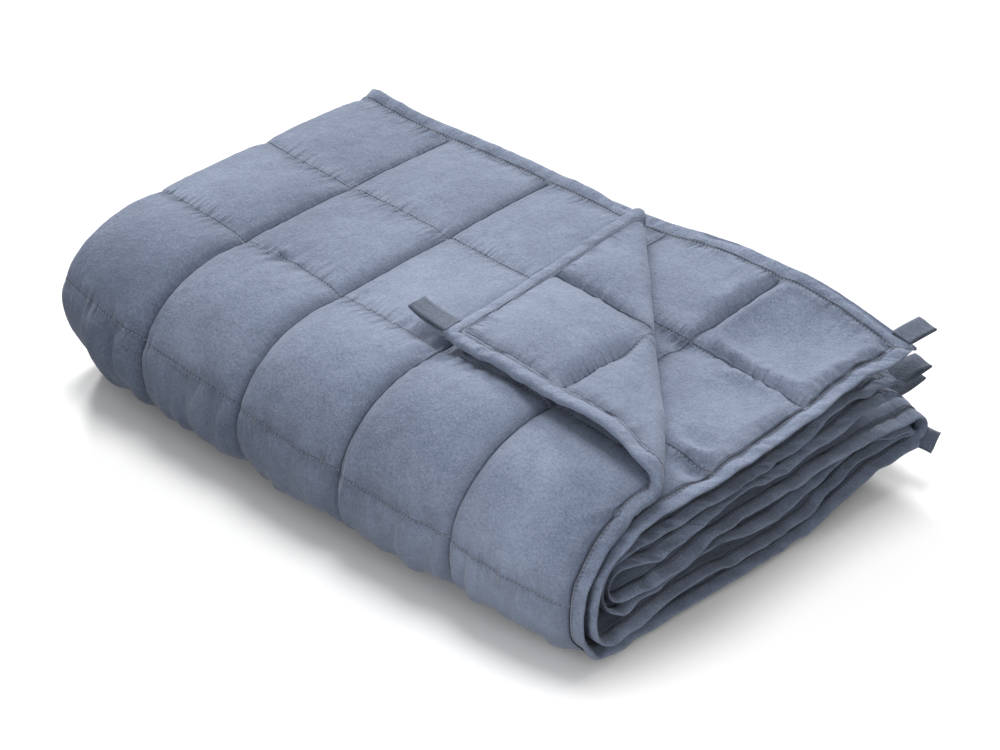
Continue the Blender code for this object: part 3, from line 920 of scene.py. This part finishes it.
def binding(material):
    """The strip that is turned over the panel's edge all round, with mitred corners."""
    lower_half = [(part, -height) for part, height in reversed(BINDING_PROFILE[:-1])]
    inward, height = np.array([*BINDING_PROFILE, *lower_half]).T
    inset, outermost = inward * BINDING_WIDTH, len(BINDING_PROFILE) - 1
    w, v = edge_round(inset)
    steps = np.hypot(np.diff(w[:, outermost]), np.diff(v[:, outermost]))
    along = np.concatenate([[0], np.cumsum(steps)])[:, None]
    plump = (BINDING_PLUMP - BINDING_HALF) * (1 - ease(v, *PLUMP_TO)) * (w > 0)
    thick = BINDING_HALF + plump - BINDING_PRESSED * ease(v, *WITHIN_STACK)
    rise = height * thick * (1 + THICKNESS_VARIES * soft_noise(along, 0.0, *THICKNESS_NOISE))
    slanted = along + BINDING_GATHER_SLANT * inset
    gathers = BINDING_GATHER_DEPTH * soft_noise(slanted, inset, *BINDING_GATHER_NOISE)
    rise = rise + gathers * inward * (1 - inward) * 4
    flat = np.stack(np.broadcast_arrays(along, inset), axis=-1)
    piece = grid_object("binding", lying(w, v, rise), flat, material, closed=True)
    placed(piece, "edge_binding")
    return piece


# node, root on the flat pattern (w, v), way out of the cloth (w, v), reach, half opening, how far
# it curls up at its end, how far its root is lifted off the ply's middle
CORNER_W = WIDTH / 2 - 0.004 - LOOP_WIDTH / 2
LOOPS = (
    ("loop_turned_corner", CORNER_W, 0.0, 0, -1, 0.038, 0.0012, 0.009, 0.0035),
    ("loop_top_corner", -CORNER_W, 0.0, 0, -1, 0.034, 0.0007, -0.001, 0.0),
    ("loop_upper_inner_corner", -CORNER_W, LENGTH, 0, 1, 0.038, 0.0028, -0.001, 0.0),
    ("loop_lower_inner_corner", CORNER_W, LENGTH, 0, 1, 0.032, 0.0012, 0.005, 0.0),
    ("loop_side", WIDTH / 2 - 0.003, LENGTH / 2 - 0.013, 1, 0, 0.014, 0.0015, 0.002, 0.0),
)
RIBBON_HALF = 0.0005  # half the ribbon's thickness
RIBBON_GAP = 0.0008  # half the gap between its two layers at both ends
SEWN_IN = 0.08  # part of its reach that is sewn into the binding
RIBBON_STEPS, TURN_STEPS, WIDTH_STEPS = 22, 8, 9
RIBBON_WAVE, RIBBON_NARROWS = 0.0005, 0.03  # across its end, and half way along
BELLY_POWER = 0.8  # draws its widest opening towards the binding
SELVEDGE = 0.97  # part of its half width at which its rounded edges begin


def ribbon_outline(reach, belly):
    """Section of a ribbon folded double: its middle line and its surface, closed round the end."""
    part = np.linspace(-SEWN_IN, 1, RIBBON_STEPS)
    leg = reach - RIBBON_GAP
    rise = RIBBON_GAP + belly * np.sin(math.pi * np.clip(part, 0, 1) ** BELLY_POWER)
    turn = np.linspace(math.pi / 2, -math.pi / 2, TURN_STEPS + 2)[1:-1]
    middle = np.concatenate([
        np.stack([leg * part, rise], axis=-1),
        np.stack([leg + RIBBON_GAP * np.cos(turn), RIBBON_GAP * np.sin(turn)], axis=-1),
        np.stack([leg * part, -rise], axis=-1)[::-1],
    ])
    step = np.gradient(middle, axis=0)
    normal = np.stack([-step[:, 1], step[:, 0]], axis=-1) / np.linalg.norm(step, axis=1)[:, None]
    surface = [middle + RIBBON_HALF * normal, (middle - RIBBON_HALF * normal)[::-1]]
    return np.concatenate([middle, middle[::-1]]), np.concatenate(surface)


def ribbon_loop(node, w, v, out_w, out_v, reach, belly, curl, lift, material):
    """A short ribbon folded double, with both ends sewn into the binding."""
    near = 0.001
    root = lying(w, v, 0.0) + (0.0, 0.0, lift)
    base, inside, beside = folded(
        np.array([w, w - near * out_w, w - near * out_v]),
        np.array([v, v - near * out_v, v + near * out_w]), 0.0)
    across = (beside - base) / np.linalg.norm(beside - base)
    up = np.cross(base - inside, across)
    up /= np.linalg.norm(up)
    out = np.cross(across, up)
    centre, outline = ribbon_outline(reach, belly)
    side = np.concatenate([[-SELVEDGE], np.linspace(-1, 1, WIDTH_STEPS), [SELVEDGE]])
    thick = np.concatenate([[0.0], np.ones(WIDTH_STEPS), [0.0]])
    edge = centre[:, None, :] + (outline - centre)[:, None, :] * thick[None, :, None]
    forward, height = edge[..., 0], edge[..., 1]
    part = forward / reach
    height = height + curl * part ** 2 + RIBBON_WAVE * np.sin(side * 3.0) * part
    narrowed = 1 - RIBBON_NARROWS * np.sin(math.pi * np.clip(part, 0, 1))
    spread = side * LOOP_WIDTH / 2 * narrowed
    points = root + forward[..., None] * out + height[..., None] * up + spread[..., None] * across
    flat = np.stack([forward, spread], axis=-1)
    name = node.replace("loop_", "ribbon_")
    return placed(grid_object(name, points, flat, material, closed=True), node)


class BLANKET_OT_loops(bpy.types.Operator):
    """Make the ribbon loops at the corners and on the long side"""

    bl_idname = "blanket.loops"
    bl_label = "Ribbon loops"

    def execute(self, context):
        look = context.scene.blanket_look
        cloth = brushed_cloth(look, "ribbon_cloth", shade=look.ribbon_shade)
        for loop in LOOPS:
            ribbon_loop(*loop, cloth)
        return {"FINISHED"}


class BLANKET_OT_covers(bpy.types.Operator):
    """Make the two quilted covers"""

    bl_idname = "blanket.covers"
    bl_label = "Quilted covers"

    def execute(self, context):
        look, shape = context.scene.blanket_look, context.scene.blanket_shape
        cloth = brushed_cloth(look, "brushed_cover_cloth", quilted)
        cover("cover_outer", 1, shape.outer_crown, shape.grid_step, cloth)
        cover("cover_inner", -1, shape.inner_crown, shape.grid_step, cloth)
        return {"FINISHED"}


class BLANKET_OT_binding(bpy.types.Operator):
    """Make the binding round the edge"""

    bl_idname = "blanket.binding"
    bl_label = "Edge binding"

    def execute(self, context):
        look = context.scene.blanket_look
        binding(brushed_cloth(look, "brushed_binding_cloth", edge_stitched))
        return {"FINISHED"}


# ---------------- the stage
FLOOR_HALF = 6.0
FLOOR_Z, GROUND_Z = -0.0005, -0.02
FLOOR_GREY, GROUND_GREY = 0.88, 0.02
FLOOR_ROUGHNESS, GROUND_ROUGHNESS = 0.9, 0.5
ROOM_LIGHT = 0.47
# name, where it shines from, how wide it is (degrees), power
SUNS = (
    ("overhead", (-0.18, 0.26, 1.0), 30.0, 2.10),
    ("raking", (-0.85, 0.62, 0.50), 11.0, 2.3),
    ("end", (1.0, -0.2, 0.5), 20.0, 0.34),
    ("front", (0.35, -1.0, 0.30), 20.0, 0.60),
)
LOW_FILL_PLACE, LOW_FILL_FROM = (0.42, -0.56, 0.08), (0.14, -0.34, 0.04)
LOW_FILL_SIZE, LOW_FILL_POWER = 0.12, 0.60


def stage_plane(name, surface, z, grey, roughness):
    """A wide plain plane under the blanket."""
    tree = Tree(surface)
    tree.shader.inputs["Base Color"].default_value = (grey, grey, grey, 1.0)
    tree.shader.inputs["Roughness"].default_value = roughness
    corners = [(x * FLOOR_HALF, y * FLOOR_HALF, 0) for x, y in ((-1, -1), (1, -1), (1, 1), (-1, 1))]
    mesh = bpy.data.meshes.new(name)
    mesh.from_pydata(corners, [], [(0, 1, 2, 3)])
    mesh.materials.append(tree.material)
    plane = add_object(name, mesh)
    plane.location.z = z
    return plane


def add_lamp(name, kind, shines_from, power):
    """A lamp that is turned to shine from a direction."""
    lamp = bpy.data.lights.new(name, kind)
    lamp.energy = power
    light = add_object(name, lamp)
    light.rotation_euler = Vector(shines_from).to_track_quat("Z", "Y").to_euler()
    return light


def add_camera():
    """The camera at the photograph's viewing angle."""
    azimuth, elevation = math.radians(VIEW_AZIMUTH), math.radians(VIEW_ELEVATION)
    level = math.cos(elevation)
    look = Vector((-math.sin(azimuth) * level, math.cos(azimuth) * level, -math.sin(elevation)))
    data = bpy.data.cameras.new("camera")
    data.lens, data.sensor_width = LENS, SENSOR_WIDTH
    data.clip_start, data.clip_end = CLIP_NEAR, CLIP_FAR
    camera = add_object("camera", data)
    place = Matrix.Translation(Vector(VIEW_TARGET) - VIEW_DISTANCE * look)
    aim = look.to_track_quat("-Z", "Y").to_matrix().to_4x4()
    camera.matrix_world = place @ aim @ Matrix.Rotation(math.radians(VIEW_ROLL), 4, "Z")
    return camera


class BLANKET_OT_stage(bpy.types.Operator):
    """Set the floor, the soft studio light and the camera"""

    bl_idname = "blanket.stage"
    bl_label = "Floor, light and camera"

    def execute(self, context):
        scene = context.scene
        floor = stage_plane("floor", "pale_floor", FLOOR_Z, FLOOR_GREY, FLOOR_ROUGHNESS)
        floor.visible_diffuse = False  # the cloth gets no light from below, as in a cut-out photo
        under = stage_plane("ground", "dark_ground", GROUND_Z, GROUND_GREY, GROUND_ROUGHNESS)
        scene.world = bpy.data.worlds.new("soft_room")
        scene.world.use_nodes = True
        room = scene.world.node_tree.nodes["Background"]
        room.inputs["Color"].default_value = (1.0, 1.0, 1.0, 1.0)
        room.inputs["Strength"].default_value = ROOM_LIGHT
        for name, shines_from, spread, power in SUNS:
            add_lamp(name, "SUN", shines_from, power).data.angle = math.radians(spread)
        low_fill = add_lamp("low_fill", "AREA", LOW_FILL_FROM, LOW_FILL_POWER)
        low_fill.data.size = LOW_FILL_SIZE
        low_fill.location = LOW_FILL_PLACE
        scene.camera = add_camera()
        scene.view_settings.view_transform = "Standard"
        return {"FINISHED"}


class BLANKET_PT_panel(bpy.types.Panel):
    """Lists the blanket's pieces and settings"""

    bl_label = "Weighted blanket"
    bl_idname = "BLANKET_PT_panel"
    bl_space_type = "VIEW_3D"
    bl_region_type = "UI"
    bl_category = "Blanket"

    def draw(self, context):
        for group in (context.scene.blanket_look, context.scene.blanket_shape):
            for name in group.__annotations__:
                self.layout.prop(group, name)
        for step in STEPS:
            self.layout.operator(step.bl_idname)


STEPS = (BLANKET_OT_loops, BLANKET_OT_covers, BLANKET_OT_binding, BLANKET_OT_stage)
CLASSES = (BlanketLook, BlanketShape, *STEPS, BLANKET_PT_panel)


def register():
    for cls in CLASSES:
        bpy.utils.register_class(cls)
    bpy.types.Scene.blanket_look = PointerProperty(type=BlanketLook)
    bpy.types.Scene.blanket_shape = PointerProperty(type=BlanketShape)


def unregister():
    del bpy.types.Scene.blanket_shape
    del bpy.types.Scene.blanket_look
    for cls in reversed(CLASSES):
        bpy.utils.unregister_class(cls)


def main():
    register()
    bpy.ops.blanket.loops()
    bpy.ops.blanket.covers()
    bpy.ops.blanket.binding()
    bpy.ops.blanket.stage()


if __name__ == "__main__":
    main()
